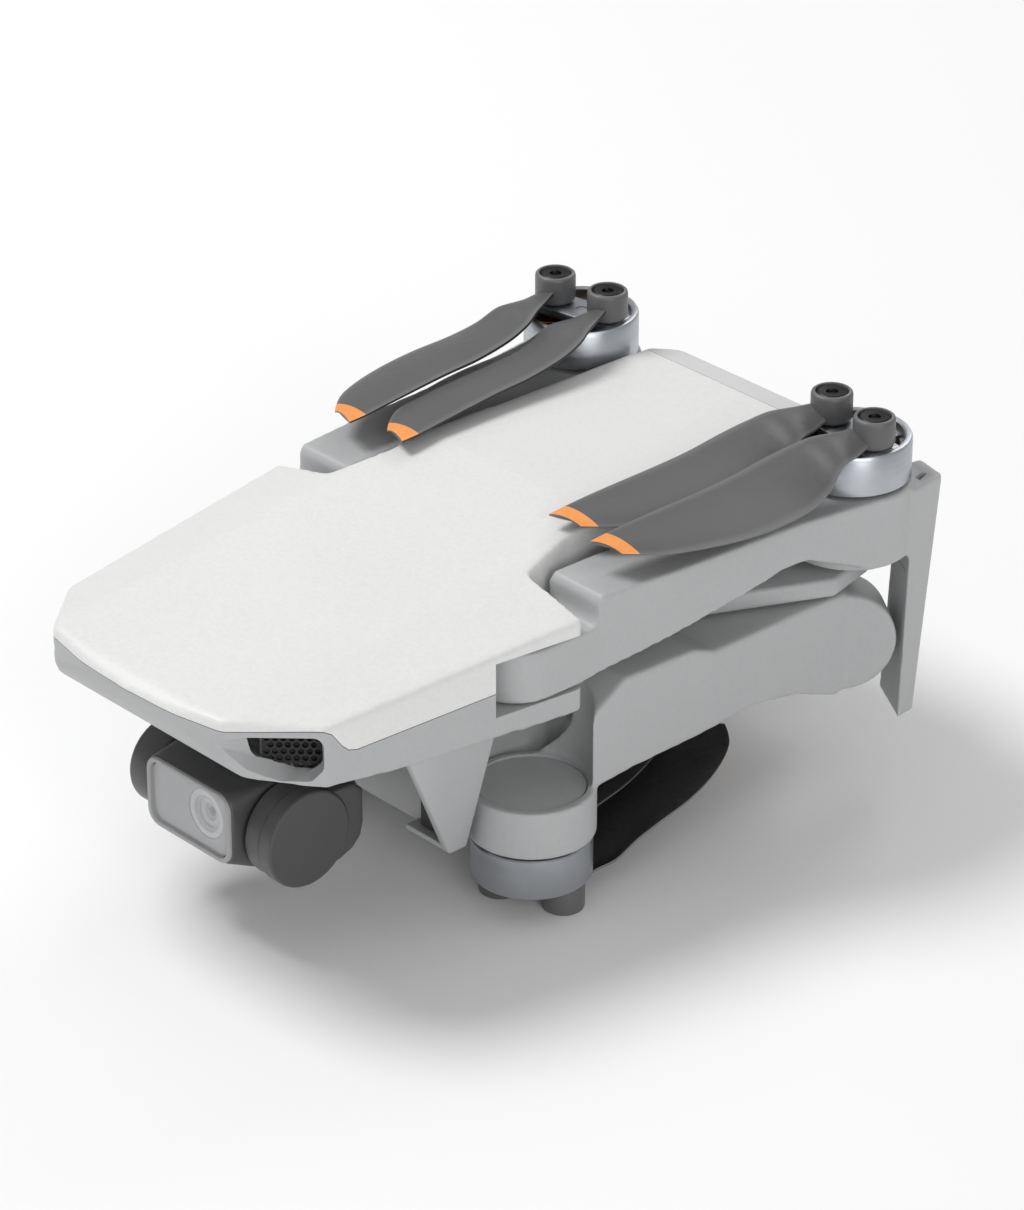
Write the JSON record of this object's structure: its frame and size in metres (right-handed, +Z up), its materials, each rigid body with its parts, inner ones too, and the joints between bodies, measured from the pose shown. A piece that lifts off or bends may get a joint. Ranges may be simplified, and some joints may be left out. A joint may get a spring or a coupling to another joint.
{
  "type": "foldable quadcopter drone",
  "caption": "Foldable camera drone, stowed: slab body over a hung tilting camera, arms folded along its sides and two-blade propellers folded flat.",
  "frame": {"origin": "centre of the folded drone's footprint, on the plane that its lowest points touch", "axes": "+Z up, the nose points along -Y, +X is the drone's own left side"},
  "size_m": [0.0856, 0.1374, 0.0668],
  "materials": {
    "top_shell": "fine satin texture",
    "side_shell": "fine satin texture",
    "cover_shell": "fine satin texture",
    "arm_plastic": "fine satin texture",
    "black_plastic": "matte black",
    "blade_plastic": "satin, orange at the tips",
    "gimbal_metal": "fine dark satin",
    "window_glass": "clear over black",
    "lens_black": "gloss black",
    "motor_metal": "satin, brushed round",
    "copper": "enamelled copper windings",
    "pin_steel": "satin",
    "black_steel": "blackened",
    "board": "solder mask",
    "heat_metal": "satin",
    "ceramic": "matte",
    "damper_rubber": "matte",
    "battery_case": "fine texture",
    "contact_gold": "plated",
    "lamp": "milky"
  },
  "bodies": {
    "body": {"upper_shell": "top_shell", "lower_shell": "side_shell", "rear_cover": "cover_shell", "belly_cover": "side_shell", "intake_grilles": "black_plastic", "shell_screws": "pin_steel", "main_board": "board", "heat_sink": "heat_metal", "gps_module": "ceramic", "fan_housing": "black_plastic", "vision_lenses": "lens_black", "infrared_window": "lens_black", "battery_lights": "lamp", "usb_port": "pin_steel", "card_slot": "pin_steel", "status_lamp": "lamp", "battery_terminals": "contact_gold", "battery_pack": "battery_case", "door_hinge_pin": "pin_steel", "front_hinge_pins": "pin_steel", "rear_hinge_pins": "pin_steel", "gimbal_plate": "gimbal_metal", "rubber_dampers": "damper_rubber"},
    "fan": {"fan_impeller": "black_plastic"},
    "rear_door": {"battery_door": "side_shell"},
    "power_key": {"power_button": "side_shell"},
    "gimbal_yaw": {"yaw_arm": "gimbal_metal", "roll_motor": "gimbal_metal"},
    "gimbal_roll": {"roll_arm": "gimbal_metal", "tilt_motor": "gimbal_metal"},
    "camera": {"camera_housing": "gimbal_metal", "lens_window": "window_glass", "lens_barrel": "lens_black"},
    "front_left_arm_body": {"front_left_arm": "arm_plastic", "front_left_stator": "copper", "front_left_leg_cover": "arm_plastic"},
    "front_left_rotor": {"front_left_bell": "motor_metal", "front_left_blade_pins": "black_steel"},
    "front_left_outer_blade": {"front_left_blade_a": "blade_plastic"},
    "front_left_inner_blade": {"front_left_blade_b": "blade_plastic"},
    "front_right_arm_body": {"front_right_arm": "arm_plastic", "front_right_stator": "copper", "front_right_leg_cover": "arm_plastic"},
    "front_right_rotor": {"front_right_bell": "motor_metal", "front_right_blade_pins": "black_steel"},
    "front_right_outer_blade": {"front_right_blade_a": "blade_plastic"},
    "front_right_inner_blade": {"front_right_blade_b": "blade_plastic"},
    "rear_left_arm_body": {"rear_left_arm": "arm_plastic", "rear_left_stator": "copper"},
    "rear_left_rotor": {"rear_left_bell": "motor_metal", "rear_left_blade_pins": "black_steel"},
    "rear_left_outer_blade": {"rear_left_blade_a": "blade_plastic"},
    "rear_left_inner_blade": {"rear_left_blade_b": "blade_plastic"},
    "rear_right_arm_body": {"rear_right_arm": "arm_plastic", "rear_right_stator": "copper"},
    "rear_right_rotor": {"rear_right_bell": "motor_metal", "rear_right_blade_pins": "black_steel"},
    "rear_right_outer_blade": {"rear_right_blade_a": "blade_plastic"},
    "rear_right_inner_blade": {"rear_right_blade_b": "blade_plastic"}
  },
  "joints": [
    {"name": "front_left_arm_fold", "type": "hinge", "parent": "body", "child": "front_left_arm_body", "pos_m": [0.0284, -0.0153, 0.045], "axis": [0, 0, -1], "range_deg": [0, 105]},
    {"name": "front_left_rotor_spin", "type": "hinge", "parent": "front_left_arm_body", "child": "front_left_rotor", "pos_m": [0.0315, 0.0537, 0.058], "axis": [0, 0, 1], "range_deg": [-60, 240]},
    {"name": "front_left_outer_blade_fold", "type": "hinge", "parent": "front_left_rotor", "child": "front_left_outer_blade", "pos_m": [0.03698, 0.05289, 0.0642], "axis": [0, 0, 1], "range_deg": [0, 90.01]},
    {"name": "front_left_inner_blade_fold", "type": "hinge", "parent": "front_left_rotor", "child": "front_left_inner_blade", "pos_m": [0.02602, 0.05451, 0.0642], "axis": [0, 0, -1], "range_deg": [0, 90.01]},
    {"name": "front_right_arm_fold", "type": "hinge", "parent": "body", "child": "front_right_arm_body", "pos_m": [-0.0284, -0.0153, 0.045], "axis": [0, 0, 1], "range_deg": [0, 105]},
    {"name": "front_right_rotor_spin", "type": "hinge", "parent": "front_right_arm_body", "child": "front_right_rotor", "pos_m": [-0.0315, 0.0537, 0.058], "axis": [0, 0, 1], "range_deg": [-240, 60]},
    {"name": "front_right_outer_blade_fold", "type": "hinge", "parent": "front_right_rotor", "child": "front_right_outer_blade", "pos_m": [-0.03698, 0.05289, 0.0642], "axis": [0, 0, -1], "range_deg": [0, 90.01]},
    {"name": "front_right_inner_blade_fold", "type": "hinge", "parent": "front_right_rotor", "child": "front_right_inner_blade", "pos_m": [-0.02602, 0.05451, 0.0642], "axis": [0, 0, 1], "range_deg": [0, 90.01]},
    {"name": "rear_left_arm_fold", "type": "hinge", "parent": "body", "child": "rear_left_arm_body", "pos_m": [0.031, 0.0523, 0.027], "axis": [0.832, -0.5548, 0], "range_deg": [0, 180.01]},
    {"name": "rear_left_rotor_spin", "type": "hinge", "parent": "rear_left_arm_body", "child": "rear_left_rotor", "pos_m": [0.0271, -0.0107, 0.009], "axis": [0, 0, 1], "range_deg": [-240, 0]},
    {"name": "rear_left_outer_blade_fold", "type": "hinge", "parent": "rear_left_rotor", "child": "rear_left_outer_blade", "pos_m": [0.03227, -0.0087, 0.0026], "axis": [0, 0, -1], "range_deg": [0, 90.01]},
    {"name": "rear_left_inner_blade_fold", "type": "hinge", "parent": "rear_left_rotor", "child": "rear_left_inner_blade", "pos_m": [0.02193, -0.0127, 0.0026], "axis": [0, 0, 1], "range_deg": [0, 90.01]},
    {"name": "rear_right_arm_fold", "type": "hinge", "parent": "body", "child": "rear_right_arm_body", "pos_m": [-0.031, 0.0523, 0.027], "axis": [0.832, 0.5548, 0], "range_deg": [0, 180.01]},
    {"name": "rear_right_rotor_spin", "type": "hinge", "parent": "rear_right_arm_body", "child": "rear_right_rotor", "pos_m": [-0.0271, -0.0107, 0.009], "axis": [0, 0, 1], "range_deg": [0, 240]},
    {"name": "rear_right_outer_blade_fold", "type": "hinge", "parent": "rear_right_rotor", "child": "rear_right_outer_blade", "pos_m": [-0.03227, -0.0087, 0.0026], "axis": [0, 0, 1], "range_deg": [0, 90.01]},
    {"name": "rear_right_inner_blade_fold", "type": "hinge", "parent": "rear_right_rotor", "child": "rear_right_inner_blade", "pos_m": [-0.02193, -0.0127, 0.0026], "axis": [0, 0, -1], "range_deg": [0, 90.01]},
    {"name": "gimbal_yaw_turn", "type": "hinge", "parent": "body", "child": "gimbal_yaw", "pos_m": [0, -0.0333, 0.0345], "axis": [0, 0, 1], "range_deg": [-7.5, 7.5]},
    {"name": "gimbal_roll_turn", "type": "hinge", "parent": "gimbal_yaw", "child": "gimbal_roll", "pos_m": [0, -0.0373, 0.0209], "axis": [0, 1, 0], "range_deg": [-20, 20]},
    {"name": "camera_tilt", "type": "hinge", "parent": "gimbal_roll", "child": "camera", "pos_m": [0.012, -0.0476, 0.0209], "axis": [1, 0, 0], "range_deg": [-20, 90]},
    {"name": "battery_door_hinge", "type": "hinge", "parent": "body", "child": "rear_door", "pos_m": [0, 0.0661, 0.0148], "axis": [-1, 0, 0], "range_deg": [0, 110]},
    {"name": "power_button_press", "type": "slide", "parent": "body", "child": "power_key", "axis": [0, 0, 1], "range_m": [0, 0.0006], "stiffness_N_per_m": 300, "springref_m": -0.0004},
    {"name": "fan_spin", "type": "hinge", "parent": "body", "child": "fan", "pos_m": [0, -0.0223, 0.048], "axis": [0, 0, 1], "continuous": true}
  ],
  "couplings": [
    {"joint": "front_left_outer_blade_fold", "follows": "front_left_arm_fold", "ratio": 0.8571},
    {"joint": "front_left_inner_blade_fold", "follows": "front_left_arm_fold", "ratio": 0.8571},
    {"joint": "front_right_outer_blade_fold", "follows": "front_right_arm_fold", "ratio": 0.8571},
    {"joint": "front_right_inner_blade_fold", "follows": "front_right_arm_fold", "ratio": 0.8571},
    {"joint": "rear_left_arm_fold", "follows": "front_left_arm_fold", "ratio": 1.7143},
    {"joint": "rear_left_outer_blade_fold", "follows": "front_left_arm_fold", "ratio": 0.8571},
    {"joint": "rear_left_inner_blade_fold", "follows": "front_left_arm_fold", "ratio": 0.8571},
    {"joint": "rear_right_arm_fold", "follows": "front_right_arm_fold", "ratio": 1.7143},
    {"joint": "rear_right_outer_blade_fold", "follows": "front_right_arm_fold", "ratio": 0.8571},
    {"joint": "rear_right_inner_blade_fold", "follows": "front_right_arm_fold", "ratio": 0.8571}
  ]
}
